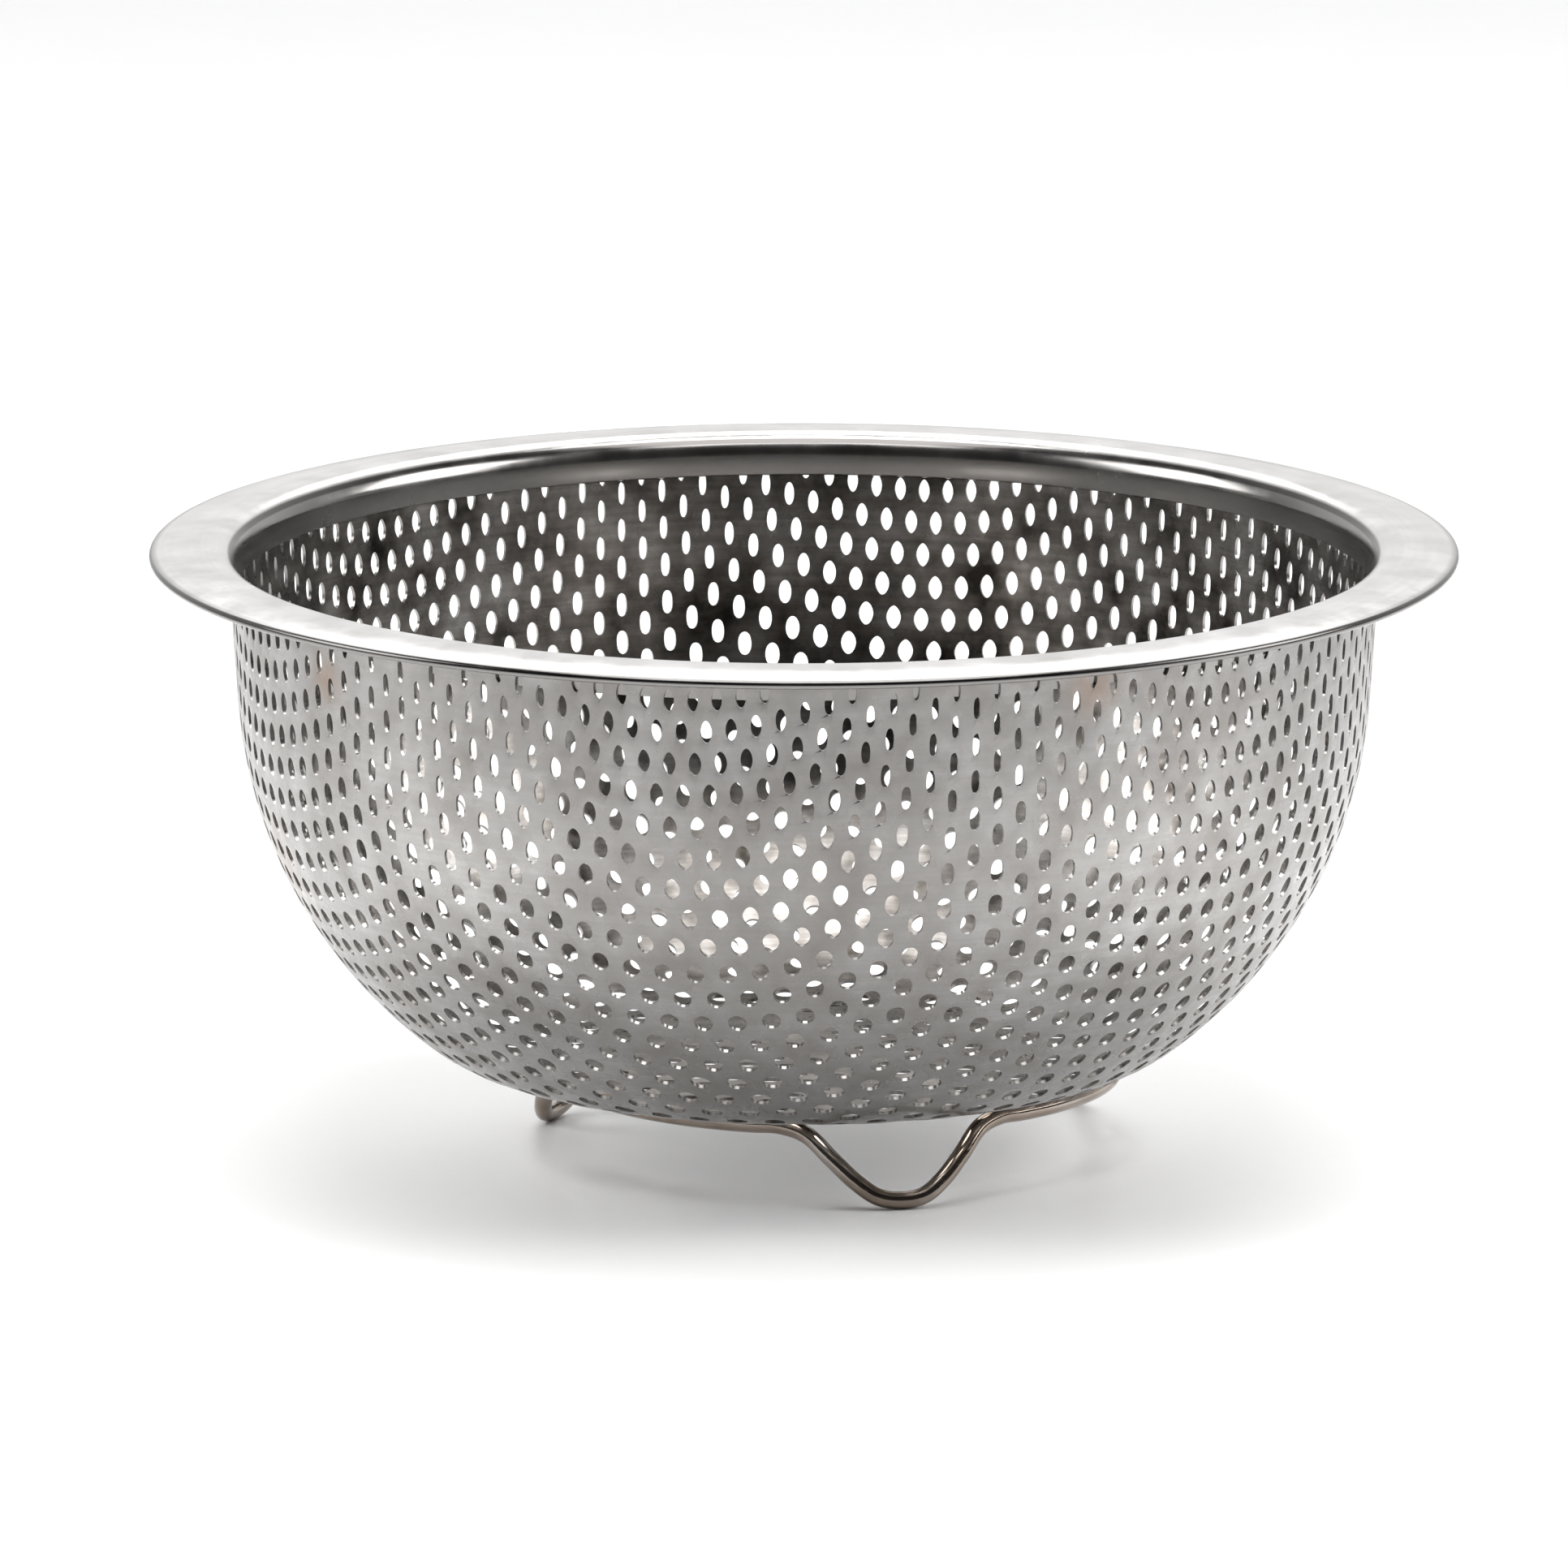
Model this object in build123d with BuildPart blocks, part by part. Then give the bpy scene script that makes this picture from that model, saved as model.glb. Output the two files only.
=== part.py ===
from build123d import *
from math import asin, atan2, cos, degrees, hypot, pi, radians, sin, sqrt, tan
import os

# Footed perforated bowl in sheet steel: drawn bowl, hemmed rim ring, bent wire foot ring.
# Millimetres, +Z up, origin on the ground under the middle of the bowl, front foot near -Y.

# Overall sizes
RIM_DIA = 200.0
TOTAL_HEIGHT = 94.0
GROUND_TO_BOWL = 13.3

# Bowl sheet
BOWL_SHEET = 0.6
WALL_DRAFT = 3.0
BALL_RADIUS = 88.0
BALL_CENTRE_HEIGHT = 83.0
SHOULDER_RADIUS = 25.0

# Rim ring, folded round the bowl's own flange
RIM_SHEET = 0.7
SHEET_GAP = 0.05
RIM_BEND = 2.5
COLLAR_DEPTH = 6.5
HEM_LIP = 3.5

# Perforation, as punched in the flat sheet before the bowl is drawn
BLANK_DIA = 250.0
HOLE_PITCH = 5.0
HOLE_DIA = 2.6
PATTERN_TURN = radians(-12.95)
PATTERN_SHIFT = (0.255, 0.17)
CENTRE_GROWTH = 1.435
GROWTH_FADE = 259.0
HOLE_SIZE_STEP = 0.2
HOLES_BELOW_TOP = 4.4
PUNCH_REACH = 2.0
PUNCH_PAST = 1.0

# Foot ring, which is welded on a little off the bowl's axis; its feet lean outward
WIRE_DIA = 2.7
RING_CENTRE = (5.0, 2.0)
RING_RADIUS = 42.4
FOOT_AZIMUTHS = (247.0, 372.0, 492.0)
FOOT_HALF_ANGLE = 24.0
FOOT_CONTACT_RADIUS = 47.4
FOOT_LEG_HALF_WIDTHS = (13.5, 6.5)
FOOT_LEG_DROPS = (0.11, 0.755)
JOINT_AZIMUTH = 187.0
JOINT_GAP = 0.05

# Welds that hold the wire to the bowl
WELD_AZIMUTHS = (74.0, 192.0, 309.0)
WELD_LENGTH = 4.0
WELD_THICKNESS = 1.5

# Shape worked out from the sizes above; bowl heights are measured from the ball centre
wall_draft = radians(WALL_DRAFT)
wire_radius = WIRE_DIA / 2
hem_thickness = 2 * RIM_SHEET + BOWL_SHEET + 2 * SHEET_GAP
hem_radius = hem_thickness / 2
hem_centre_radius = RIM_DIA / 2 - hem_radius
flange_top = TOTAL_HEIGHT - BALL_CENTRE_HEIGHT
flange_under = flange_top - RIM_SHEET - SHEET_GAP - BOWL_SHEET
flange_bend = RIM_BEND - RIM_SHEET - SHEET_GAP - BOWL_SHEET
bottom_depth = BALL_CENTRE_HEIGHT - GROUND_TO_BOWL
shoulder_height = SHOULDER_RADIUS - bottom_depth
flat_radius = sqrt((BALL_RADIUS - SHOULDER_RADIUS) ** 2 - shoulder_height**2)
shoulder_angle = atan2(flat_radius, -shoulder_height)
wall_foot = (BALL_RADIUS * cos(wall_draft), -BALL_RADIUS * sin(wall_draft))
ball_centre = (0, 0, BALL_CENTRE_HEIGHT)
os.makedirs("parts", exist_ok=True)

# Height of the wire ring at which it lies under the flat bottom of the bowl
ring_height = GROUND_TO_BOWL - SHEET_GAP - wire_radius


def section_plane(azimuth):
    """Upright plane through the axis, its x pointing outward at an azimuth from the front."""
    turn = radians(azimuth)
    outward = (sin(turn), -cos(turn), 0)
    return Plane(origin=ball_centre, x_dir=outward, z_dir=(outward[1], -outward[0], 0))


def wall_to_flange(inset, foot_height, flange_radius):
    """Wall, bend and flange of a sheet face that lies `inset` inside the bowl's outer face."""
    bend_radius = flange_bend + inset
    bend_foot = flange_under + inset - bend_radius * (1 - sin(wall_draft))
    ball_end = (wall_foot[0] - inset * cos(wall_draft), wall_foot[1] + inset * sin(wall_draft))
    foot_radius = ball_end[0] + (foot_height - ball_end[1]) * tan(wall_draft)
    wall_length = (bend_foot - foot_height) / cos(wall_draft)
    wall = PolarLine((foot_radius, foot_height), wall_length, 90 - WALL_DRAFT)
    bend = JernArc(wall @ 1, wall % 1, bend_radius, WALL_DRAFT - 90)
    flange = Line(bend @ 1, (flange_radius, flange_under + inset))
    return wall @ 0, flange @ 1


def bowl_face(inset):
    """One face of the bowl sheet, from the axis to the flange edge."""
    shoulder_degrees = degrees(shoulder_angle)
    ball_arc = 90 - WALL_DRAFT - shoulder_degrees
    bottom = Line((0, inset - bottom_depth), (flat_radius, inset - bottom_depth))
    CenterArc((flat_radius, shoulder_height), SHOULDER_RADIUS - inset, -90, shoulder_degrees)
    ball = CenterArc((0, 0), BALL_RADIUS - inset, shoulder_degrees - 90, ball_arc)
    flange_end = wall_to_flange(inset, (ball @ 1).Y, hem_centre_radius - SHEET_GAP)[1]
    return bottom @ 0, flange_end


def rim_face(inset, fold_radius):
    """One face of the rim sheet, from the collar's foot over the flange to the hem's lip."""
    collar_foot = flange_top - COLLAR_DEPTH
    foot, flange_end = wall_to_flange(inset, collar_foot, hem_centre_radius)
    fold = JernArc(flange_end, (1, 0), fold_radius, -180)
    lip = Line(fold @ 1, fold @ 1 - Vector(HEM_LIP, 0))
    return foot, lip @ 1


def blank_to_bowl(blank_radius):
    """Radius, height and slope on the drawn bowl of a point of the flat blank.

    The drawn sheet's area inside the point decides how far up the bowl it ends.
    """
    growth = CENTRE_GROWTH * (1 - (blank_radius / GROWTH_FADE) ** 2)
    area = pi * growth * blank_radius**2
    flat_area = pi * flat_radius**2
    ball_area = 2 * pi * BALL_RADIUS**2
    shoulder_area = 2 * pi * SHOULDER_RADIUS * (
        flat_radius * shoulder_angle + SHOULDER_RADIUS * (1 - cos(shoulder_angle))
    )
    if area < flat_area:
        return sqrt(area / pi), -bottom_depth, 0.0
    area -= flat_area
    if area < shoulder_area:
        slope = shoulder_slope(area)
        radius = flat_radius + SHOULDER_RADIUS * sin(slope)
        return radius, shoulder_height - SHOULDER_RADIUS * cos(slope), slope
    area -= shoulder_area
    drop = cos(shoulder_angle) - area / ball_area
    if drop > sin(wall_draft):
        slope = pi / 2 - asin(drop)
        return BALL_RADIUS * sin(slope), -BALL_RADIUS * drop, slope
    area -= (cos(shoulder_angle) - sin(wall_draft)) * ball_area
    flare = sin(wall_draft)
    up_wall = (sqrt(wall_foot[0] ** 2 + flare * area / pi) - wall_foot[0]) / flare
    height = wall_foot[1] + up_wall * cos(wall_draft)
    return wall_foot[0] + up_wall * flare, height, pi / 2 - wall_draft


def shoulder_slope(area):
    """Slope on the shoulder at which the shoulder has the given area below it."""
    slope = shoulder_angle / 2
    for _ in range(20):
        have = flat_radius * slope + SHOULDER_RADIUS * (1 - cos(slope))
        want = area / (2 * pi * SHOULDER_RADIUS)
        slope -= (have - want) / (flat_radius + SHOULDER_RADIUS * sin(slope))
    return slope


def pattern_points():
    """Blank radius and azimuth from the front of every hole of the triangular pattern."""
    reach = int(BLANK_DIA / HOLE_PITCH)
    for row in range(-reach, reach + 1):
        for column in range(-reach, reach + 1):
            across = HOLE_PITCH * (column + 0.5 * (row % 2) + PATTERN_SHIFT[0])
            along = HOLE_PITCH * (row * sqrt(3) / 2 + PATTERN_SHIFT[1])
            yield hypot(across, along), atan2(across, along) + PATTERN_TURN


def hole_size(blank_radius):
    """Hole diameter after drawing, rounded so that a few punches serve them all."""
    growth = CENTRE_GROWTH * (1 - 2 * (blank_radius / GROWTH_FADE) ** 2)
    return round(HOLE_DIA * sqrt(growth) / HOLE_SIZE_STEP) * HOLE_SIZE_STEP


# Sort the holes: those on the ball zone share punches that turn about the ball centre
top_hole_height = flange_under - HOLES_BELOW_TOP
ball_holes = {}
other_holes = {}
for blank_radius, azimuth in pattern_points():
    if blank_radius > BLANK_DIA / 2:
        continue
    radius, height, slope = blank_to_bowl(blank_radius)
    if height > top_hole_height:
        continue
    outward = Vector(sin(slope) * sin(azimuth), -sin(slope) * cos(azimuth), -cos(slope))
    sideways = Vector(cos(azimuth), sin(azimuth), 0)
    size = hole_size(blank_radius)
    if shoulder_angle < slope < pi / 2 - wall_draft:
        turned = Plane(origin=(0, 0, 0), x_dir=sideways, z_dir=outward)
        ball_holes.setdefault(size, []).append(turned)
    else:
        point = Vector(radius * sin(azimuth), -radius * cos(azimuth), height)
        start = point - outward * PUNCH_REACH
        punched = Plane(origin=start, x_dir=sideways, z_dir=outward)
        other_holes.setdefault(size, []).append(punched)

# Drawn bowl, about the ball centre
with BuildPart() as drawn_bowl:
    with BuildSketch(Plane.XZ):
        with BuildLine():
            outer_ends = bowl_face(0)
            inner_ends = bowl_face(BOWL_SHEET)
            Line(outer_ends[0], inner_ends[0])
            Line(outer_ends[1], inner_ends[1])
        make_face()
    revolve(axis=Axis.Z)
    for size, planes in other_holes.items():
        with BuildSketch(*planes):
            Circle(size / 2)
        extrude(amount=PUNCH_REACH + PUNCH_PAST, mode=Mode.SUBTRACT, clean=False)
    for size, planes in ball_holes.items():
        with BuildPart(mode=Mode.PRIVATE) as punch:
            with BuildSketch():
                Circle(size / 2)
            extrude(amount=BALL_RADIUS + PUNCH_PAST)
            with BuildSketch():
                Rectangle(2 * size, 2 * size)
            extrude(amount=BALL_RADIUS - PUNCH_REACH, mode=Mode.SUBTRACT)
        with Locations(*[plane.location for plane in planes]):
            add(punch.part, mode=Mode.SUBTRACT, clean=False)

with BuildPart() as bowl:
    with Locations(ball_centre):
        add(drawn_bowl.part)
bowl.part.label = "bowl"
export_step(bowl.part, "parts/bowl.step", write_pcurves=False)

# Rim ring: collar inside the bowl, flat flange, hem folded round the bowl's flange
with BuildPart() as rim_ring:
    with BuildSketch(section_plane(90)):
        with BuildLine():
            under_inset = BOWL_SHEET + SHEET_GAP
            under_ends = rim_face(under_inset, hem_radius - RIM_SHEET)
            upper_ends = rim_face(under_inset + RIM_SHEET, hem_radius)
            Line(under_ends[0], upper_ends[0])
            Line(under_ends[1], upper_ends[1])
        make_face()
    revolve(axis=Axis.Z)
rim_ring.part.label = "rim_ring"
export_step(rim_ring.part, "parts/rim_ring.step")


def ring_point(azimuth, radius, sideways=0.0, height=ring_height):
    """Point at a radius along an azimuth from the ring's centre, then sideways from it."""
    turn = radians(azimuth)
    x = RING_CENTRE[0] + radius * sin(turn) + sideways * cos(turn)
    y = RING_CENTRE[1] + sideways * sin(turn) - radius * cos(turn)
    return Vector(x, y, height)


def ring_heading(azimuth):
    """Direction of the ring at an azimuth, turning left as seen from above."""
    return Vector(cos(radians(azimuth)), sin(radians(azimuth)), 0)


def foot_line(azimuth):
    """Wire centre line of one foot: out of the ring, down to the ground and back up."""
    drop = ring_height - wire_radius
    left = []
    right = []
    for width, part in zip(FOOT_LEG_HALF_WIDTHS, FOOT_LEG_DROPS):
        chord = sqrt(RING_RADIUS**2 - width**2)
        radius = chord + (FOOT_CONTACT_RADIUS - chord) * part
        height = ring_height - drop * part
        left.append(ring_point(azimuth, radius, -width, height))
        right.append(ring_point(azimuth, radius, width, height))
    contact = ring_point(azimuth, FOOT_CONTACT_RADIUS, 0, wire_radius)
    start, end = azimuth - FOOT_HALF_ANGLE, azimuth + FOOT_HALF_ANGLE
    points = [ring_point(start, RING_RADIUS), *left, contact, *right[::-1]]
    points.append(ring_point(end, RING_RADIUS))
    return Spline(*points, tangents=[ring_heading(start), ring_heading(end)])


def ring_arc(start, end):
    """Wire centre line under the bowl between two azimuths."""
    points = [ring_point(azimuth, RING_RADIUS) for azimuth in (start, (start + end) / 2, end)]
    return ThreePointArc(*points)


# Foot ring: one wire bent into three arcs and three feet, its two ends meeting at the back
with BuildPart() as foot_ring:
    with BuildLine() as wire_line:
        arc_start = JOINT_AZIMUTH
        for azimuth in FOOT_AZIMUTHS:
            ring_arc(arc_start, azimuth - FOOT_HALF_ANGLE)
            foot_line(azimuth)
            arc_start = azimuth + FOOT_HALF_ANGLE
        ring_arc(arc_start, JOINT_AZIMUTH + 360 - degrees(JOINT_GAP / RING_RADIUS))
    wire_start = ring_point(JOINT_AZIMUTH, RING_RADIUS)
    with BuildSketch(Plane(origin=wire_start, z_dir=ring_heading(JOINT_AZIMUTH))):
        Circle(wire_radius)
    sweep(path=wire_line.wire())
foot_ring.part.label = "foot_ring"
export_step(foot_ring.part, "parts/foot_ring.step")

# Weld beads, each in the groove between the wire and the bowl, on the outside
with BuildPart() as weld_beads:
    bead_radius = WELD_THICKNESS / 2
    bead_offset = RING_RADIUS + wire_radius + bead_radius / 2
    for azimuth in WELD_AZIMUTHS:
        bead_centre = ring_point(azimuth, bead_offset, 0, GROUND_TO_BOWL - bead_radius / 2)
        along = Plane(origin=bead_centre, z_dir=ring_heading(azimuth))
        with BuildSketch(along.offset(-WELD_LENGTH / 2)):
            Circle(bead_radius)
        extrude(amount=WELD_LENGTH)
    with BuildSketch(section_plane(90)):
        with Locations((flat_radius, shoulder_height)):
            Circle(SHOULDER_RADIUS)
        with Locations((0, -bottom_depth)):
            Rectangle(flat_radius, SHOULDER_RADIUS, align=(Align.MIN, Align.MIN))
    revolve(axis=Axis.Z, mode=Mode.SUBTRACT)
    add(foot_ring.part, mode=Mode.SUBTRACT)
weld_beads.part.label = "weld_beads"
export_step(weld_beads.part, "parts/weld_beads.step")
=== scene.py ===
import math
import bmesh
import bpy
import numpy as np
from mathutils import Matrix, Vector


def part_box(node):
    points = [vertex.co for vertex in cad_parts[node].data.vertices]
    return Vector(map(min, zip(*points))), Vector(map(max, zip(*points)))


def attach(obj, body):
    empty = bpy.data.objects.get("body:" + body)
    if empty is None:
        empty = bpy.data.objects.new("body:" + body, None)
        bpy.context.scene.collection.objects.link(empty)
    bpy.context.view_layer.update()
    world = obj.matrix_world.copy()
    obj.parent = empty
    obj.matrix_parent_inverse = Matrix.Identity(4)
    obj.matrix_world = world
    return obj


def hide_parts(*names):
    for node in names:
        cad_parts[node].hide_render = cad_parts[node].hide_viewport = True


# A footed colander in sheet steel: perforated bowl, hemmed rim ring, bent wire foot ring, welds.
# Metres, +Z up, origin on the ground under the middle of the bowl, front towards -Y.

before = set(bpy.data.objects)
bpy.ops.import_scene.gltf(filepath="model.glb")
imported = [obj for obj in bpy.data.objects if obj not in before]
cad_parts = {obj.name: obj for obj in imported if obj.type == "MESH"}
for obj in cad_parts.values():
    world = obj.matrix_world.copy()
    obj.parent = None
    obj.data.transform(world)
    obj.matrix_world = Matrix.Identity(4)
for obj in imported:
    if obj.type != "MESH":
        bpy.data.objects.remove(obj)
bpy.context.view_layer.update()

MM = 0.001
BOWL_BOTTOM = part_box("bowl")[0].z
RIM_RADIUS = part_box("rim_ring")[1].x
RIM_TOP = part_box("rim_ring")[1].z

# Bowl sheet: flat bottom, shoulder arc, side arc, straight wall, small bend, flange inside the hem
SHEET = 0.6 * MM
FLAT_RADIUS = 43.2 * MM
SHOULDER_RADIUS = 24.8 * MM
SHOULDER_SLOPE = math.radians(36.4)
SIDE_RADIUS = 70.67 * MM
WALL_SLOPE = math.radians(86.04)
WALL_TOP = RIM_TOP - 2.6 * MM
FLANGE_UNDER = RIM_TOP - 1.4 * MM
FLANGE_EDGE = RIM_RADIUS - 1.2 * MM
STRAIGHT_STEPS = 60
SIDE_STEPS = 300
BEND_STEPS = 7

# Hole pattern, in pitches of the flat perforated blank; rho is the distance from its middle
PATTERN_TURN = math.radians(-12.95)
PATTERN_SHIFT = (0.255, 0.17)
PATTERN_ROWS = 30
CELL_CORNERS = 6
AREA_AT_CENTRE = 35.84 * MM**2
AREA_FADE = -0.02672 * MM**2
TOP_RHO = 24.35
LAST_HOLE_RHO = 24.0
HOLE_POINTS = 18
HOLE_ROLL = 0.11 * MM
INNER_ROLL_SHARE = 0.3
HOLE_RHO = [0, 8, 10, 13, 15, 17, 19, 21, 23, 24.5]
HOLE_WIDTH = [3.22, 3.2, 3.16, 3.04, 2.85, 2.6, 2.42, 2.15, 1.77, 1.55]
HOLE_HEIGHT = [3.22, 3.2, 3.16, 3.22, 3.29, 3.47, 3.63, 3.7, 3.6, 3.55]
SHAPED_FROM, SHAPED_OVER = 10, 8
ROUND_POWER = 2.05
SLOT_POWER = 0.4
NARROWED_FROM, NARROWED_OVER = 16, 6
NARROWING = 0.2
NARROWED_BASE = 0.85

# Rim ring: collar, bend, flange that falls away from its crest, round edge, hem folded under
RIM_SHEET = 0.7 * MM
SHEET_GAP = 0.05 * MM
RIM_BEND = 3.6 * MM
COLLAR_FOOT = RIM_TOP - 6.3 * MM
COLLAR_NOSE = ((0.25 * MM, -0.12 * MM), (0.06 * MM, 0), (0, 0.2 * MM))
HEM_WIDTH = 4.5 * MM
HEM_LIP = 0.6 * MM
FOLD_INSET = 1.5 * MM
FOLD_DEPTHS = (1.42 * MM, 1.34 * MM)
HEM_GAP_DROP = 0.2 * MM
CREST_INSET = 7.5 * MM
EDGE_DROP = 0.8 * MM
EDGE_ROUND = 0.65 * MM
LATHE_STEPS = 384

# Foot ring, a little off the bowl's axis, and its welds
WIRE_RADIUS = 1.35 * MM
RING_CENTRE = (5 * MM, 2 * MM)
RING_RADIUS = 42.4 * MM
RING_HEIGHT = BOWL_BOTTOM - WIRE_RADIUS - 0.03 * MM
FOOT_AZIMUTHS = (12.0, 132.0, 247.0)
FOOT_HALF_ANGLE = 24.0
FOOT_CONTACT_RADIUS = 47.4 * MM
FOOT_LEGS = ((13.5 * MM, 0.11), (10 * MM, 0.44), (6.6 * MM, 0.755), (3.5 * MM, 0.95))
RING_STEPS = 16
LINE_STEPS = 10
WIRE_SIDES = 20
WELD_AZIMUTHS = (74.0, 192.0, 309.0)
WELD_REACH = (2.4 * MM, 0.95 * MM, 0.8 * MM)
WELD_OUT = 1.3 * MM
WELD_DROP = 0.35 * MM

# Camera: a long lens from the front, a little above
CAMERA_ELEVATION = math.radians(11.7)
CAMERA_DISTANCE = 7.44
CAMERA_TARGET = Vector((-3.05 * MM, 0, 56.8 * MM))
CAMERA_REACH = 60
FRAME_WIDTH = 239.6 * MM
SENSOR = 36.0

# Floor and light: name, place, size and power of each lamp, and the glow of the world round them
FLOOR_REACH = 8.0
FLOOR_SIDES = 96
FLOOR_SINK = 0.02 * MM
LAMPS = (
    ("lamp_top", (0, -0.1, 1.05), 0.8, 12.8),
    ("lamp_back", (0, 1.2, 1.3), 1.2, 7),
    ("lamp_left", (-1.0, 0.0, 0.6), 0.6, 8),
    ("lamp_right", (1.0, 0.0, 0.6), 0.6, 9),
)
LAMP_AIM = Vector((0, 0, 0.05))
GLOW_START, GLOW_END = 0.1, 0.8
GLOW_FRONT, GLOW_BACK = 0.04, 0.97

# Steel of the bowl: dark, middle and light of the mottling, and brown stains as place and reach
OUTER_TONES = ((0.34, 0.322, 0.305), (0.45, 0.44, 0.43), (0.58, 0.572, 0.565))
# The inside's tones run from near black to near white: partly the steel's mottling, partly painted
# shade and painted reflection of the interior.
INNER_TONES_AND_PAINTED_SHADE = ((0.045, 0.039, 0.034), (0.42, 0.392, 0.366), (0.9, 0.87, 0.84))
OUTER_STAINS = (
    ((44 * MM, -76 * MM, 87.5 * MM), 6 * MM),
    ((-73 * MM, -49 * MM, 83 * MM), 5 * MM),
    ((-84 * MM, -20 * MM, 46 * MM), 14 * MM),
)
STAIN_BROWN = (0.3, 0.18, 0.11)

# Inputs of a Mix node when it mixes colours
MIX_FACTOR = 0
MIX_COLOURS = (6, 7)


def bowl_profile():
    """Slope, radius and height up the outside of the bowl, from its middle to the wall's top."""
    steps = STRAIGHT_STEPS
    shoulder = np.linspace(0, SHOULDER_SLOPE, steps)
    side = np.linspace(SHOULDER_SLOPE, WALL_SLOPE, SIDE_STEPS)
    shoulder_r = FLAT_RADIUS + SHOULDER_RADIUS * np.sin(shoulder)
    shoulder_z = BOWL_BOTTOM + SHOULDER_RADIUS * (1 - np.cos(shoulder))
    side_r = shoulder_r[-1] + SIDE_RADIUS * (np.sin(side) - math.sin(SHOULDER_SLOPE))
    side_z = shoulder_z[-1] + SIDE_RADIUS * (math.cos(SHOULDER_SLOPE) - np.cos(side))
    wall_z = np.linspace(side_z[-1], WALL_TOP, steps)
    wall_r = side_r[-1] + (wall_z - side_z[-1]) / math.tan(WALL_SLOPE)
    flat_r = np.linspace(0, FLAT_RADIUS, steps)
    flat_z = np.full(steps, BOWL_BOTTOM)
    wall = np.full(steps - 1, WALL_SLOPE)
    slope = np.concatenate([np.zeros(steps), shoulder[1:], side[1:], wall])
    radius = np.concatenate([flat_r, shoulder_r[1:], side_r[1:], wall_r[1:]])
    height = np.concatenate([flat_z, shoulder_z[1:], side_z[1:], wall_z[1:]])
    return slope, radius, height


PROFILE_SLOPE, PROFILE_RADIUS, PROFILE_HEIGHT = bowl_profile()
profile_step = np.hypot(np.diff(PROFILE_RADIUS), np.diff(PROFILE_HEIGHT))
profile_mid = (PROFILE_RADIUS[1:] + PROFILE_RADIUS[:-1]) / 2
PROFILE_AREA = np.concatenate([[0], np.cumsum(profile_step * profile_mid)])


def drawn(rho):
    """Slope, radius and height on the drawn bowl of points at rho pitches from the blank's middle."""
    area = AREA_AT_CENTRE * rho**2 / 2 + AREA_FADE * rho**4 / 4
    return [np.interp(area, PROFILE_AREA, v) for v in (PROFILE_SLOPE, PROFILE_RADIUS, PROFILE_HEIGHT)]


def on_bowl(across, along, inset):
    """Points of the blank, taken to the drawn bowl's sheet at a depth inside its outer face."""
    slope, radius, height = drawn(np.hypot(across, along))
    turn = np.arctan2(across, along) + PATTERN_TURN
    radius = radius - inset * np.sin(slope)
    height = height + inset * np.cos(slope)
    return np.stack([radius * np.sin(turn), -radius * np.cos(turn), height], -1)


def hole_outline(across, along, angles):
    """Blank points round each hole: round at the bottom, drawn out to a lens or slot up the wall."""
    rho = np.maximum(np.hypot(across, along), 0.01)[:, None]
    stretch_round = drawn(rho)[1] / rho
    area_rate = AREA_AT_CENTRE * rho + AREA_FADE * rho**3
    stretch_up = area_rate / np.maximum(drawn(rho)[1], 0.01 * MM)
    outward = np.arctan2(along, across)[:, None]
    width = np.interp(rho, HOLE_RHO, HOLE_WIDTH) * MM
    height = np.interp(rho, HOLE_RHO, HOLE_HEIGHT) * MM
    spread = np.sin(angles - outward) * width / stretch_round
    angles = outward + np.arctan2(spread, np.cos(angles - outward) * height / stretch_up)
    along_round = np.abs(np.sin(angles - outward)) * stretch_round
    along_up = np.abs(np.cos(angles - outward)) * stretch_up
    sector = np.cos(CELL_CORNERS * outward)
    shaped = np.clip((rho - SHAPED_FROM) / SHAPED_OVER, 0, 1)
    power = ROUND_POWER + SLOT_POWER * shaped * sector
    narrowed = np.clip((rho - NARROWED_FROM) / NARROWED_OVER, 0, 1)
    width *= 1 - NARROWING * narrowed * (NARROWED_BASE + sector)
    size = ((2 * along_round / width) ** power + (2 * along_up / height) ** power) ** (-1 / power)
    return across[:, None] + size * np.cos(angles), along[:, None] + size * np.sin(angles)


def lattice():
    """Hole centres of the triangular pattern that lie on the blank."""
    row, column = np.mgrid[-PATTERN_ROWS : PATTERN_ROWS + 1, -PATTERN_ROWS : PATTERN_ROWS + 1]
    across = (column + 0.5 * (row % 2) + PATTERN_SHIFT[0]).ravel()
    along = (row * math.sqrt(3) / 2 + PATTERN_SHIFT[1]).ravel()
    near = np.hypot(across, along) < TOP_RHO + 1
    return across[near], along[near]


class SheetPoints:
    """Blank points of the perforated sheet, each kept once, with how deep its outer face sits."""

    def __init__(self):
        self.index = {}
        self.places = []
        self.depths = []

    def add(self, across, along, depth=0.0):
        key = (round(across * 1e4), round(along * 1e4))
        if key not in self.index:
            self.index[key] = len(self.places)
            self.places.append((across, along))
            self.depths.append(depth)
        return self.index[key]


def clip_to_top(corners):
    """A cell's corners, cut off where they pass the top circle of the perforated zone."""
    clipped = []
    for start, end in zip(corners, corners[1:] + corners[:1]):
        inside_start = math.hypot(*start) < TOP_RHO
        inside_end = math.hypot(*end) < TOP_RHO
        if inside_start:
            clipped.append(start)
        if inside_start != inside_end:
            clipped.append(crossing(start, end))
    return clipped


def crossing(start, end):
    """Where the line between two points meets the top circle."""
    low, high = (start, end) if start < end else (end, start)
    low_inside = math.hypot(*low) < TOP_RHO
    shares = [0.0, 1.0]
    for _ in range(40):
        middle = sum(shares) / 2
        place = [a + (b - a) * middle for a, b in zip(low, high)]
        shares[(math.hypot(*place) < TOP_RHO) != low_inside] = middle
    return tuple(place)


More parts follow.
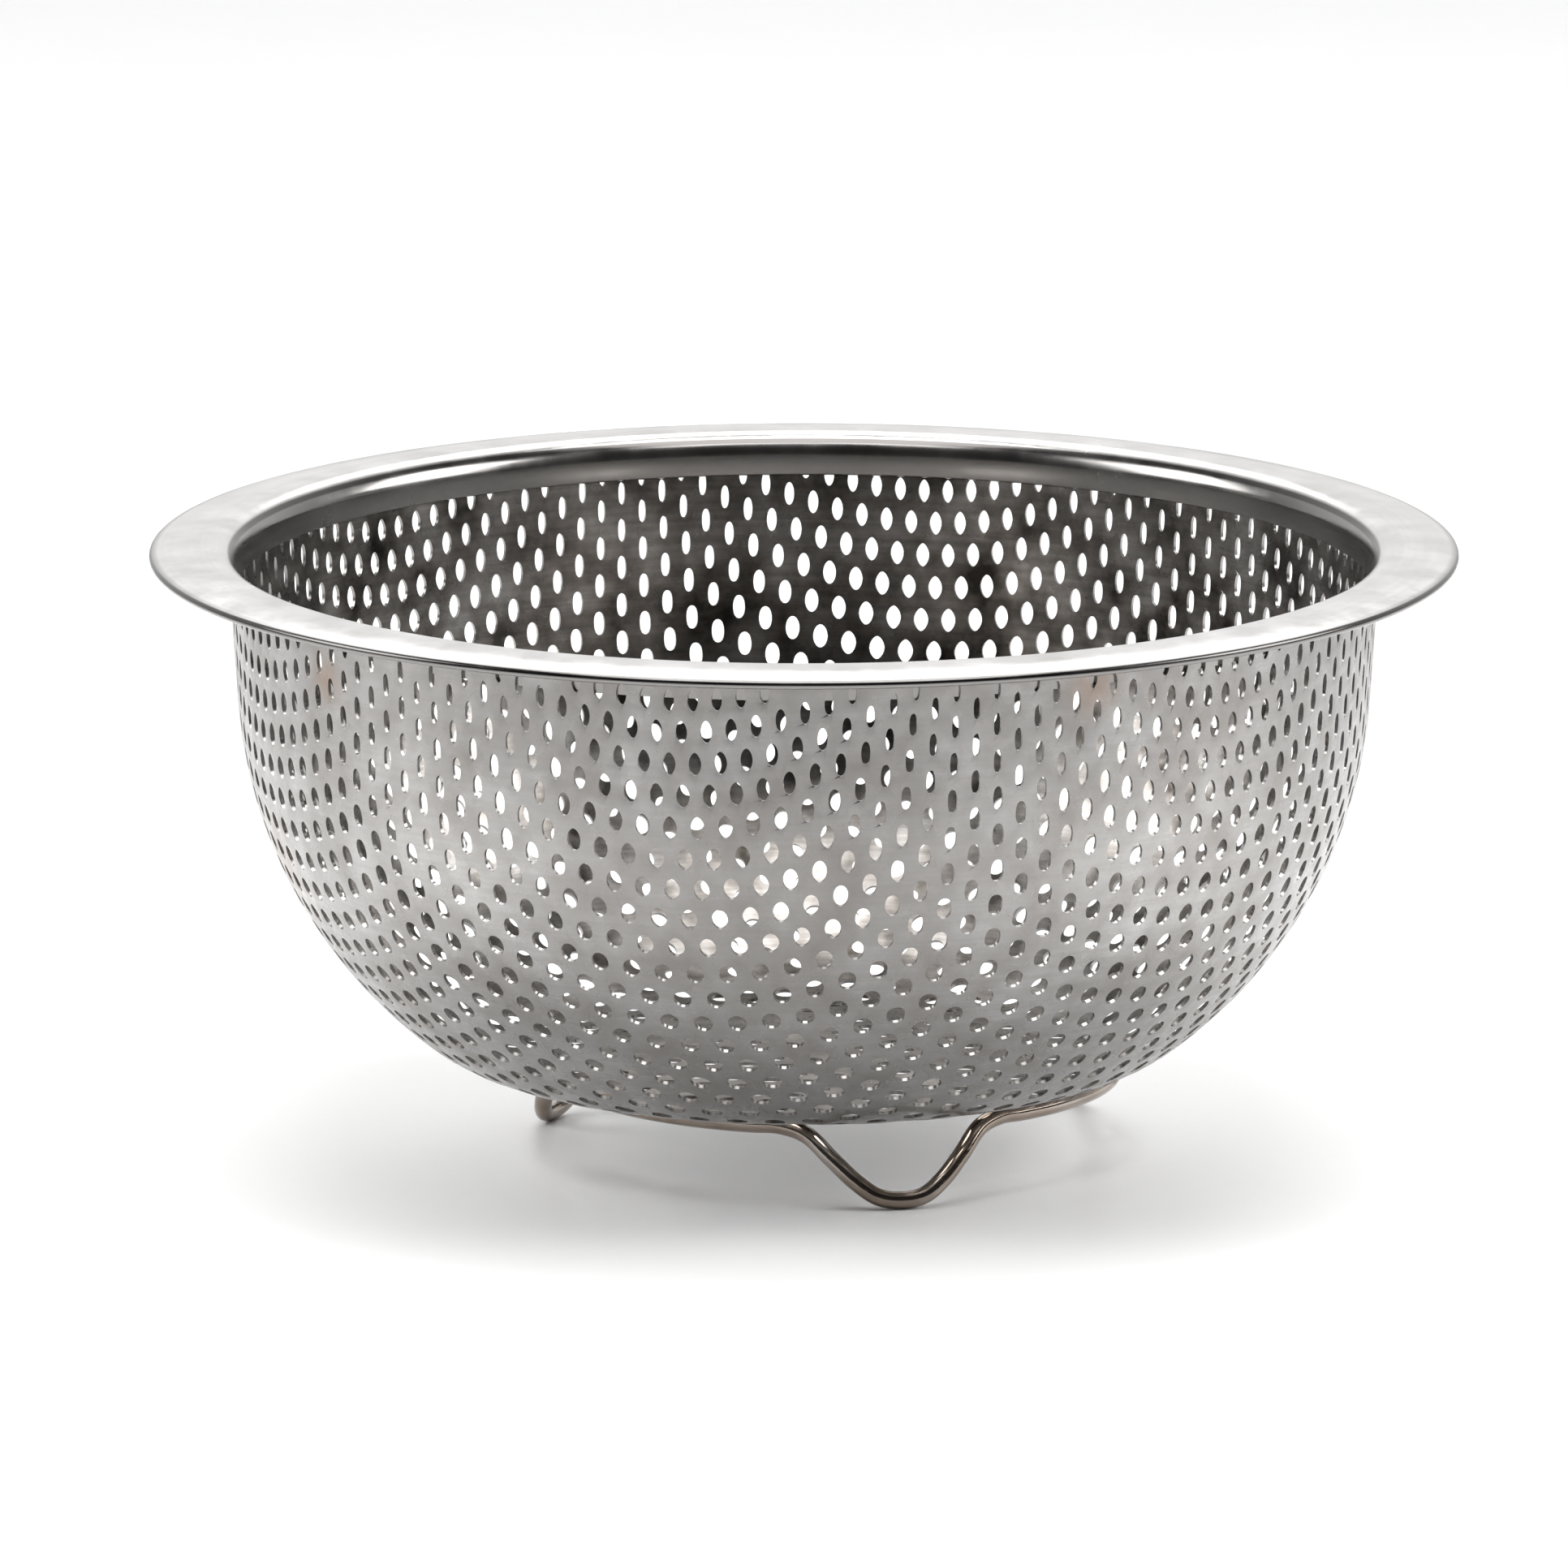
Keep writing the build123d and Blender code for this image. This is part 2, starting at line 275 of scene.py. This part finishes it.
def bridge(outer, inner):
    """Triangles between a cell's outline and its hole, both turning left, as (angle, vertex) lists."""
    faces = []
    i = j = 0
    while i < len(outer) or j < len(inner):
        outer_next = outer[(i + 1) % len(outer)][0] + 2 * math.pi * ((i + 1) // len(outer))
        inner_next = inner[(j + 1) % len(inner)][0] + 2 * math.pi * ((j + 1) // len(inner))
        corner, edge = outer[i % len(outer)][1], inner[j % len(inner)][1]
        if j >= len(inner) or (i < len(outer) and outer_next <= inner_next):
            faces.append((corner, outer[(i + 1) % len(outer)][1], edge))
            i += 1
        else:
            faces.append((corner, inner[(j + 1) % len(inner)][1], edge))
            j += 1
    return faces


def sorted_round(centre, points, ids):
    """(angle from the cell's centre, vertex) of points, in turning order."""
    angles = [math.atan2(y - centre[1], x - centre[0]) % (2 * math.pi) for x, y in points]
    return sorted(zip(angles, ids))


def perforated_cells():
    """Skin faces, hole rims and points of the sheet, cell by cell."""
    across, along = lattice()
    corner_turns = np.radians(30 + 360 / CELL_CORNERS * np.arange(CELL_CORNERS))
    reach = 1 / math.sqrt(3)
    hole_turns = np.radians(30 + 360 / HOLE_POINTS * np.arange(HOLE_POINTS))
    hole_across, hole_along = hole_outline(across, along, hole_turns)
    points = SheetPoints()
    skin, rims = [], []
    for n, centre in enumerate(zip(across.tolist(), along.tolist())):
        corners = [
            (centre[0] + reach * math.cos(t), centre[1] + reach * math.sin(t)) for t in corner_turns
        ]
        outline = clip_to_top(corners)
        if len(outline) < 3:
            continue
        ids = [points.add(*corner) for corner in outline]
        if math.hypot(*centre) > LAST_HOLE_RHO:
            skin.append(tuple(ids))
            continue
        hole = list(zip(hole_across[n].tolist(), hole_along[n].tolist()))
        rim = [points.add(*place, depth=HOLE_ROLL) for place in hole]
        rims.append(rim)
        skin += bridge(sorted_round(centre, outline, ids), sorted_round(centre, hole, rim))
    return points, skin, rims


def mesh_piece(name, vertices, faces, materials, which=None, sharp=40.0):
    """A mesh object, smooth but for edges sharper than the given angle."""
    mesh = bpy.data.meshes.new(name)
    mesh.from_pydata(vertices, [], faces)
    mesh.polygons.foreach_set("use_smooth", np.ones(len(mesh.polygons), dtype=bool))
    mesh.set_sharp_from_angle(angle=math.radians(sharp))
    for material in materials:
        mesh.materials.append(material)
    if which is not None:
        mesh.polygons.foreach_set("material_index", which)
    piece = bpy.data.objects.new(name, mesh)
    bpy.context.scene.collection.objects.link(piece)
    return piece


def flange_rings(turns, inset):
    """The plain part of a sheet face above the holes: end of the wall, bend, and flange."""
    top_r, top_z = PROFILE_RADIUS[-1], PROFILE_HEIGHT[-1]
    bend = FLANGE_UNDER - WALL_TOP
    slopes = np.linspace(WALL_SLOPE, 0, BEND_STEPS)
    centre_r = top_r + bend * math.sin(WALL_SLOPE)
    centre_z = top_z - bend * math.cos(WALL_SLOPE)
    radii = [centre_r - (bend + inset) * math.sin(s) for s in slopes] + [FLANGE_EDGE]
    heights = [centre_z + (bend + inset) * math.cos(s) for s in slopes]
    heights.append(heights[-1])
    return [
        np.stack([r * np.sin(turns), -r * np.cos(turns), np.full(len(turns), z)], -1)
        for r, z in zip(radii, heights)
    ]


def build_bowl(outside, inside):
    """The perforated bowl: outer and inner skins, hole walls, bend and flange, as one closed sheet."""
    points, skin, rims = perforated_cells()
    places = np.array(points.places)
    depths = np.array(points.depths)
    outer = on_bowl(places[:, 0], places[:, 1], depths)
    inner = on_bowl(places[:, 0], places[:, 1], SHEET + INNER_ROLL_SHARE * depths)
    count = len(places)
    faces = list(skin) + [tuple(count + v for v in reversed(face)) for face in skin]
    for rim in rims:
        for a, b in zip(rim, rim[1:] + rim[:1]):
            faces.append((a, b, count + b, count + a))
    rho = np.hypot(places[:, 0], places[:, 1])
    top = np.nonzero(np.abs(rho - TOP_RHO) < 1e-5)[0]
    turns = np.arctan2(places[top, 0], places[top, 1])
    order = np.argsort(turns)
    top, turns = top[order], turns[order] + PATTERN_TURN
    vertices = [outer, inner]
    last_rings = []
    start = 2 * count
    for side, base in ((0, 0), (1, count)):
        below = [base + int(v) for v in top]
        for ring in flange_rings(turns, side * SHEET):
            above = list(range(start, start + len(top)))
            start += len(top)
            vertices.append(ring)
            for i in range(len(top)):
                j = (i + 1) % len(top)
                quad = (below[i], below[j], above[j], above[i])
                faces.append(quad[::-1] if side else quad)
            below = above
        last_rings.append(below)
    for i in range(len(top)):
        j = (i + 1) % len(top)
        faces.append((last_rings[0][i], last_rings[0][j], last_rings[1][j], last_rings[1][i]))
    which = np.zeros(len(faces), dtype=np.int32)
    which[len(skin):2 * len(skin)] = 1
    return mesh_piece("perforated_bowl", np.concatenate(vertices), faces, (outside, inside), which)


def arc(centre, radius, start, end, steps):
    """Profile points on an arc between two angles in degrees."""
    turns = np.radians(np.linspace(start, end, steps))
    return [(centre[0] + radius * math.cos(t), centre[1] + radius * math.sin(t)) for t in turns]


def lathe(name, profile, material):
    """A closed profile of (radius, height) points, turned round the axis."""
    profile = np.array(profile)
    turns = np.linspace(0, 2 * math.pi, LATHE_STEPS, endpoint=False)
    radius, height = profile[:, 0][:, None], profile[:, 1][:, None]
    height = np.broadcast_to(height, (len(profile), LATHE_STEPS))
    rings = np.stack([radius * np.sin(turns), -radius * np.cos(turns), height], -1)
    rows, steps = len(profile), LATHE_STEPS
    faces = []
    for i in range(rows):
        for j in range(steps):
            a, b = i * steps + j, i * steps + (j + 1) % steps
            c, d = ((i + 1) % rows) * steps + (j + 1) % steps, ((i + 1) % rows) * steps + j
            faces.append((a, d, c, b))
    return mesh_piece(name, rings.reshape(-1, 3), faces, [material])


def build_rim(material):
    """Collar inside the bowl, rounded into a crowned flange whose edge is folded under itself."""
    lean = math.pi / 2 - WALL_SLOPE
    wall_r = PROFILE_RADIUS[-1] - SHEET - SHEET_GAP
    bend_z = RIM_TOP - RIM_BEND
    inner_r = wall_r - RIM_SHEET
    foot_r = inner_r - (bend_z - COLLAR_FOOT) * math.tan(lean)
    crest_r = RIM_RADIUS - CREST_INSET
    round_r = RIM_RADIUS - EDGE_ROUND
    tilt = math.atan(2 * EDGE_DROP / (round_r - crest_r))
    reach = round_r + EDGE_ROUND * math.sin(tilt) - crest_r
    round_z = RIM_TOP - EDGE_DROP - EDGE_ROUND * math.cos(tilt)
    lip_r = RIM_RADIUS - HEM_WIDTH
    foot_z = round_z - EDGE_ROUND
    under = RIM_TOP - RIM_SHEET
    fold_r = RIM_RADIUS - FOLD_INSET
    profile = [(foot_r + out, COLLAR_FOOT + up) for out, up in COLLAR_NOSE]
    profile += arc((inner_r + RIM_BEND, bend_z), RIM_BEND, 180, 90, 18)
    shares = np.linspace(0, 1, 9)[:-1]
    profile += [(crest_r + reach * s, RIM_TOP - EDGE_DROP * s**2) for s in shares]
    profile += arc((round_r, round_z), EDGE_ROUND, 90 - math.degrees(tilt), -90, 16)
    profile += [(lip_r, foot_z), (lip_r, foot_z + HEM_LIP)]
    profile += [(fold_r, RIM_TOP - depth) for depth in FOLD_DEPTHS]
    profile += [(lip_r, under - HEM_GAP_DROP), (crest_r, under)]
    profile += arc((wall_r + RIM_BEND - RIM_SHEET, bend_z), RIM_BEND - RIM_SHEET, 90, 180, 8)
    profile.append((foot_r + RIM_SHEET, COLLAR_FOOT))
    return lathe("hemmed_rim", profile[::-1], material)


def foot_points(azimuth):
    """Points of one foot: out of the ring, down to the ground and back up."""
    left, right = [], []
    for width, share in FOOT_LEGS:
        chord = math.sqrt(RING_RADIUS**2 - width**2)
        radius = chord + (FOOT_CONTACT_RADIUS - chord) * share
        height = RING_HEIGHT + (WIRE_RADIUS - RING_HEIGHT) * share
        left.append(ring_point(azimuth, radius, -width, height))
        right.append(ring_point(azimuth, radius, width, height))
    contact = ring_point(azimuth, FOOT_CONTACT_RADIUS, 0, WIRE_RADIUS)
    start = ring_point(azimuth - FOOT_HALF_ANGLE, RING_RADIUS)
    end = ring_point(azimuth + FOOT_HALF_ANGLE, RING_RADIUS)
    return [start, *left, contact, *right[::-1], end]


def ring_point(azimuth, radius, sideways=0.0, height=RING_HEIGHT):
    """Point at a radius along an azimuth from the ring's centre, then sideways from it."""
    turn = math.radians(azimuth)
    x = RING_CENTRE[0] + radius * math.sin(turn) + sideways * math.cos(turn)
    y = RING_CENTRE[1] + sideways * math.sin(turn) - radius * math.cos(turn)
    return np.array((x, y, height))


def wire_line():
    """Closed centre line of the foot ring."""
    points = []
    for azimuth, following in zip(FOOT_AZIMUTHS, FOOT_AZIMUTHS[1:] + (FOOT_AZIMUTHS[0] + 360,)):
        points += foot_points(azimuth)
        start, end = azimuth + FOOT_HALF_ANGLE, following - FOOT_HALF_ANGLE
        points += [ring_point(a, RING_RADIUS) for a in np.linspace(start, end, RING_STEPS)[1:-1]]
    return smooth_loop(np.array(points), LINE_STEPS)


def smooth_loop(points, steps):
    """A closed smooth line through points, even where they are unevenly spaced."""
    line = []
    count = len(points)
    for i in range(count):
        before, start, end, after = (points[(i + k) % count] for k in (-1, 0, 1, 2))
        legs = (start - before, end - start, after - end)
        spans = [np.linalg.norm(leg) ** 0.5 for leg in legs]
        leave = (start - before) / spans[0] - (end - before) / (spans[0] + spans[1])
        leave = (leave + (end - start) / spans[1]) * spans[1]
        reach = (end - start) / spans[1] - (after - start) / (spans[1] + spans[2])
        reach = (reach + (after - end) / spans[2]) * spans[1]
        for t in np.arange(steps) / steps:
            line.append(
                (2 * t**3 - 3 * t**2 + 1) * start
                + (t**3 - 2 * t**2 + t) * leave
                + (3 * t**2 - 2 * t**3) * end
                + (t**3 - t**2) * reach
            )
    return np.array(line)


def tube(name, line, radius, sides, material):
    """A closed round tube along a closed line."""
    ahead = np.roll(line, -1, 0) - np.roll(line, 1, 0)
    ahead /= np.linalg.norm(ahead, axis=1)[:, None]
    outward = line * (1, 1, 0)
    outward /= np.linalg.norm(outward, axis=1)[:, None]
    outward -= ahead * np.sum(outward * ahead, axis=1)[:, None]
    outward /= np.linalg.norm(outward, axis=1)[:, None]
    upward = np.cross(ahead, outward)
    turns = np.linspace(0, 2 * math.pi, sides, endpoint=False)
    round_it = outward[:, None] * np.cos(turns)[:, None] + upward[:, None] * np.sin(turns)[:, None]
    vertices = (line[:, None] + radius * round_it).reshape(-1, 3)
    faces = []
    for i in range(len(line)):
        for j in range(sides):
            k, m = (i + 1) % len(line), (j + 1) % sides
            faces.append((i * sides + j, k * sides + j, k * sides + m, i * sides + m))
    return mesh_piece(name, vertices, faces, [material])


def build_weld(number, azimuth, material):
    """An uneven bead of weld metal in the groove between the wire and the bowl."""
    shape = bmesh.new()
    bmesh.ops.create_icosphere(shape, subdivisions=4, radius=1.0)
    turn = math.radians(azimuth)
    along = Vector((math.cos(turn), math.sin(turn), 0)) * WELD_REACH[0]
    outward = Vector((math.sin(turn), -math.cos(turn), 0)) * WELD_REACH[1]
    upward = Vector((0, 0, WELD_REACH[2]))
    seat = Vector(ring_point(azimuth, RING_RADIUS + WELD_OUT, 0, BOWL_BOTTOM - WELD_DROP))
    vertices = []
    for vertex in shape.verts:
        x, y, z = vertex.co
        ripple = 1 + 0.1 * math.sin(7 * x + number) + 0.06 * math.sin(11 * y + 5 * z)
        vertices.append(seat + (along * x + outward * y + upward * z) * ripple)
    faces = [[vertex.index for vertex in face.verts] for face in shape.faces]
    shape.free()
    return mesh_piece(f"weld_bead_{number}", vertices, faces, [material])


class Nodes:
    """Small helper that adds and joins the nodes of one material."""

    def __init__(self, name):
        self.material = bpy.data.materials.new(name)
        self.material.use_nodes = True
        self.tree = self.material.node_tree
        self.shader = self.tree.nodes["Principled BSDF"]

    def add(self, kind, settings=None, **inputs):
        node = self.tree.nodes.new(kind)
        for key, value in (settings or {}).items():
            setattr(node, key, value)
        for key, value in inputs.items():
            self.put(node, int(key[1:]) if key[1:].isdigit() else key.replace("_", " "), value)
        return node

    def put(self, node, key, value):
        if isinstance(value, bpy.types.NodeSocket):
            self.tree.links.new(value, node.inputs[key])
        else:
            node.inputs[key].default_value = value

    def math(self, operation, a, b=0.0):
        return self.add("ShaderNodeMath", {"operation": operation}, _0=a, _1=b).outputs[0]

    def noise(self, vector, scale, detail=3.0, roughness=0.5):
        settings = {"Scale": scale, "Detail": detail, "Roughness": roughness}
        return self.add("ShaderNodeTexNoise", Vector=vector, **settings).outputs["Fac"]

    def ramp(self, factor, stops):
        node = self.add("ShaderNodeValToRGB", Fac=factor)
        elements = node.color_ramp.elements
        while len(elements) < len(stops):
            elements.new(0.5)
        for element, (position, colour) in zip(elements, stops):
            element.position = position
            element.color = (*colour, 1)
        return node.outputs["Color"]

    def grey_ramp(self, factor, low, high, start=0.3, end=0.7):
        """A straight ramp from low to high as the factor goes from start to end, level beyond."""
        node = self.add("ShaderNodeMapRange", Value=factor)
        for key, value in (("From Min", start), ("From Max", end), ("To Min", low), ("To Max", high)):
            node.inputs[key].default_value = value
        return node.outputs["Result"]

    def mix(self, factor, first, second):
        """Colour between two, each a socket or a red, green and blue."""
        node = self.add("ShaderNodeMix", {"data_type": "RGBA"})
        self.put(node, MIX_FACTOR, factor)
        for key, colour in zip(MIX_COLOURS, (first, second)):
            fixed = not isinstance(colour, bpy.types.NodeSocket)
            self.put(node, key, (*colour, 1) if fixed else colour)
        return node.outputs[2]

    def coordinates(self):
        return self.tree.nodes.new("ShaderNodeTexCoord").outputs["Object"]

    def vector_math(self, operation, a, b=(0, 0, 0)):
        return self.add("ShaderNodeVectorMath", {"operation": operation}, _0=a, _1=b).outputs

    def distance_from_axis(self, vector):
        flat = self.vector_math("MULTIPLY", vector, (1, 1, 0))["Vector"]
        return self.vector_math("LENGTH", flat)["Value"]

    def rings(self, vector, round_scale, cross_scale):
        """Coordinates stretched so that noise runs in rings round the object's axis."""
        split = self.add("ShaderNodeSeparateXYZ", Vector=vector)
        radius = self.distance_from_axis(vector)
        cross = self.math("MULTIPLY", self.math("ADD", radius, split.outputs["Z"]), cross_scale)
        x = self.math("MULTIPLY", split.outputs["X"], round_scale)
        y = self.math("MULTIPLY", split.outputs["Y"], round_scale)
        return self.add("ShaderNodeCombineXYZ", X=x, Y=y, Z=cross).outputs[0]

    def bump(self, height, strength, distance, normal=None):
        node = self.add("ShaderNodeBump", Height=height, Strength=strength, Distance=distance)
        if normal is not None:
            self.put(node, "Normal", normal)
        return node.outputs["Normal"]


def bowl_steel(name, tones, stains):
    """Drawn sheet: mottling, polishing rings, painted shade that darkens it towards the middle and
    upwards, brown stains.
    """
    dark, middle, light = tones
    painted_shade_tone = [0.35 * tone for tone in dark]
    m = Nodes(name)
    where = m.coordinates()
    mottle = m.noise(where, 95, 4, 0.55)
    rings = m.noise(m.rings(where, 12, 900), 1.0, 3, 0.6)
    colour = m.ramp(mottle, [(0.3, dark), (0.5, middle), (0.72, light)])
    colour = m.mix(m.grey_ramp(rings, 0.0, 0.4), colour, dark)
    split = m.add("ShaderNodeSeparateXYZ", Vector=where).outputs
    # Painted shade: the colour is darkened towards the middle (small |X|) and towards the top,
    # standing in for the darker reflections there.
    painted_middle_shade = m.grey_ramp(m.math("ABSOLUTE", split["X"]), 0.6, 0.0, 10 * MM, 75 * MM)
    painted_upper_shade = m.grey_ramp(split["Z"], 0.0, 0.52, 30 * MM, 85 * MM)
    colour = m.mix(m.math("MAXIMUM", painted_middle_shade, painted_upper_shade), colour, painted_shade_tone)
    for place, reach in stains:
        away = m.vector_math("DISTANCE", where, place)["Value"]
        stain = m.grey_ramp(away, 0.35, 0.0, 1 * MM, reach)
        colour = m.mix(stain, colour, STAIN_BROWN)
    m.put(m.shader, "Base Color", colour)
    m.put(m.shader, "Metallic", 1.0)
    m.put(m.shader, "Roughness", m.grey_ramp(m.noise(where, 260, 3), 0.22, 0.36))
    grain = m.bump(rings, 0.25, 0.02 * MM)
    m.put(m.shader, "Normal", m.bump(m.noise(where, 140, 2), 0.5, 0.12 * MM, grain))
    return m.material


def rim_steel():
    """Polished rim: fine turned rings, light handling marks, and painted shade darkening the collar,
    the round edge and the fold.
    """
    m = Nodes("rim_steel")
    where = m.coordinates()
    rings = m.noise(m.rings(where, 6, 1600), 1.0, 4, 0.65)
    marks = m.noise(where, 120, 4, 0.6)
    stops = [(0.3, (0.58, 0.56, 0.54)), (0.55, (0.68, 0.67, 0.66)), (0.8, (0.74, 0.73, 0.72))]
    colour = m.mix(m.grey_ramp(rings, 0.0, 0.3), m.ramp(marks, stops), (0.55, 0.53, 0.51))
    radius = m.distance_from_axis(where)
    height = m.add("ShaderNodeSeparateXYZ", Vector=where).outputs["Z"]
    # Painted shade: the rim is made near black from just under the flange's edge downwards, then grey
    # again lower over the fold, standing in for the dark line and grey band of reflection on the round
    # edge.
    edge = m.grey_ramp(height, 0.9, 0.0, RIM_TOP - 0.92 * MM, RIM_TOP - 0.62 * MM)
    painted_fold_shade = m.grey_ramp(height, 0.8, 0.0, RIM_TOP - 1.62 * MM, RIM_TOP - 1.4 * MM)
    # Painted shade: the collar and the lower part of its bend are made near black.
    painted_collar_shade = m.grey_ramp(radius, 0.96, 0.0, 85.0 * MM, 86.4 * MM)
    colour = m.mix(edge, colour, (0.04, 0.037, 0.035))
    colour = m.mix(painted_fold_shade, colour, (0.3, 0.29, 0.28))
    colour = m.mix(painted_collar_shade, colour, (0.016, 0.014, 0.013))
    m.put(m.shader, "Base Color", colour)
    m.put(m.shader, "Metallic", 1.0)
    m.put(m.shader, "Roughness", m.grey_ramp(marks, 0.16, 0.28))
    grain = m.bump(rings, 0.2, 0.015 * MM)
    m.put(m.shader, "Normal", m.bump(m.noise(where, 60, 2), 0.35, 0.1 * MM, grain))
    return m.material


def wire_steel():
    """Bright drawn wire with a faint warm cast and lengthwise die lines."""
    m = Nodes("wire_steel")
    where = m.coordinates()
    lines = m.noise(m.rings(where, 20, 3500), 1.0, 2, 0.5)
    tint = m.noise(where, 70, 3, 0.5)
    stops = [(0.3, (0.2, 0.155, 0.12)), (0.55, (0.32, 0.27, 0.23)), (0.8, (0.5, 0.46, 0.43))]
    m.put(m.shader, "Base Color", m.ramp(tint, stops))
    m.put(m.shader, "Metallic", 1.0)
    m.put(m.shader, "Roughness", m.grey_ramp(lines, 0.1, 0.22))
    m.put(m.shader, "Normal", m.bump(lines, 0.2, 0.02 * MM))
    return m.material


def weld_steel():
    """Weld metal with straw, brown and blue heat tint over a rippled skin."""
    m = Nodes("weld_steel")
    where = m.coordinates()
    heat = m.noise(where, 420, 3, 0.6)
    stops = [(0.3, (0.62, 0.6, 0.57)), (0.45, (0.5, 0.38, 0.24))]
    stops += [(0.6, (0.32, 0.22, 0.2)), (0.75, (0.3, 0.33, 0.42))]
    m.put(m.shader, "Base Color", m.ramp(heat, stops))
    m.put(m.shader, "Metallic", 1.0)
    m.put(m.shader, "Roughness", m.grey_ramp(heat, 0.3, 0.5))
    m.put(m.shader, "Normal", m.bump(m.noise(where, 1800, 3), 0.6, 0.15 * MM))
    return m.material


def floor_card():
    """Matt white paper."""
    m = Nodes("floor_card")
    where = m.coordinates()
    colour = m.mix(m.noise(where, 40, 3), (0.86, 0.86, 0.86), (0.88, 0.88, 0.88))
    m.put(m.shader, "Base Color", colour)
    m.put(m.shader, "Roughness", m.grey_ramp(m.noise(where, 300, 2), 0.38, 0.46))
    m.put(m.shader, "Specular IOR Level", 0.35)
    return m.material


def build_floor(material):
    """A wide round floor under the object."""
    turns = np.linspace(0, 2 * math.pi, FLOOR_SIDES, endpoint=False)
    vertices = [(FLOOR_REACH * math.cos(t), FLOOR_REACH * math.sin(t), -FLOOR_SINK) for t in turns]
    floor = mesh_piece("floor", vertices, [tuple(range(FLOOR_SIDES))], [material])


def build_camera():
    """Long lens at the front, a little above, so that the view is nearly without perspective."""
    camera = bpy.data.cameras.new("camera")
    camera.sensor_width = SENSOR
    camera.lens = SENSOR * CAMERA_DISTANCE / FRAME_WIDTH
    camera.clip_end = CAMERA_REACH
    place = bpy.data.objects.new("camera", camera)
    back = Vector((0, -math.cos(CAMERA_ELEVATION), math.sin(CAMERA_ELEVATION)))
    place.location = CAMERA_TARGET + CAMERA_DISTANCE * back
    place.rotation_euler = (math.pi / 2 - CAMERA_ELEVATION, 0, 0)
    bpy.context.scene.collection.objects.link(place)
    bpy.context.scene.camera = place


def area_light(name, place, size, power):
    """A soft square lamp that faces the object."""
    lamp = bpy.data.lights.new(name, "AREA")
    lamp.size = size
    lamp.energy = power
    holder = bpy.data.objects.new(name, lamp)
    holder.location = place
    holder.rotation_euler = (LAMP_AIM - Vector(place)).to_track_quat("-Z", "Y").to_euler()
    bpy.context.scene.collection.objects.link(holder)


def build_light():
    """White studio: the world glows at the back and fades to the front, and soft lamps stand round."""
    world = bpy.data.worlds.new("studio")
    bpy.context.scene.world = world
    world.use_nodes = True
    tree = world.node_tree
    background = tree.nodes["Background"]
    where = tree.nodes.new("ShaderNodeTexCoord")
    split = tree.nodes.new("ShaderNodeSeparateXYZ")
    tree.links.new(where.outputs["Generated"], split.inputs[0])
    glow = tree.nodes.new("ShaderNodeMapRange")
    glow.interpolation_type = "SMOOTHSTEP"
    glow.inputs["From Min"].default_value = GLOW_START
    glow.inputs["From Max"].default_value = GLOW_END
    glow.inputs["To Min"].default_value = GLOW_FRONT
    glow.inputs["To Max"].default_value = GLOW_BACK
    tree.links.new(split.outputs["Y"], glow.inputs["Value"])
    tree.links.new(glow.outputs["Result"], background.inputs["Color"])
    for lamp in LAMPS:
        area_light(*lamp)


def ride_root(piece, node):
    """The piece belongs to the one body, and stands for the named CAD node."""
    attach(piece, "root")
    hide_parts(node)


build_camera()
build_light()
build_floor(floor_card())
outside = bowl_steel("bowl_steel", OUTER_TONES, OUTER_STAINS)
inside = bowl_steel("bowl_steel_inside", INNER_TONES_AND_PAINTED_SHADE, ())
ride_root(build_bowl(outside, inside), "bowl")
ride_root(build_rim(rim_steel()), "rim_ring")
wire = tube("wire_foot_ring", wire_line(), WIRE_RADIUS, WIRE_SIDES, wire_steel())
ride_root(wire, "foot_ring")
weld_material = weld_steel()
for number, azimuth in enumerate(WELD_AZIMUTHS, 1):
    weld = build_weld(number, azimuth, weld_material)
    ride_root(weld, "weld_beads")
bpy.context.scene.view_settings.view_transform = "Standard"
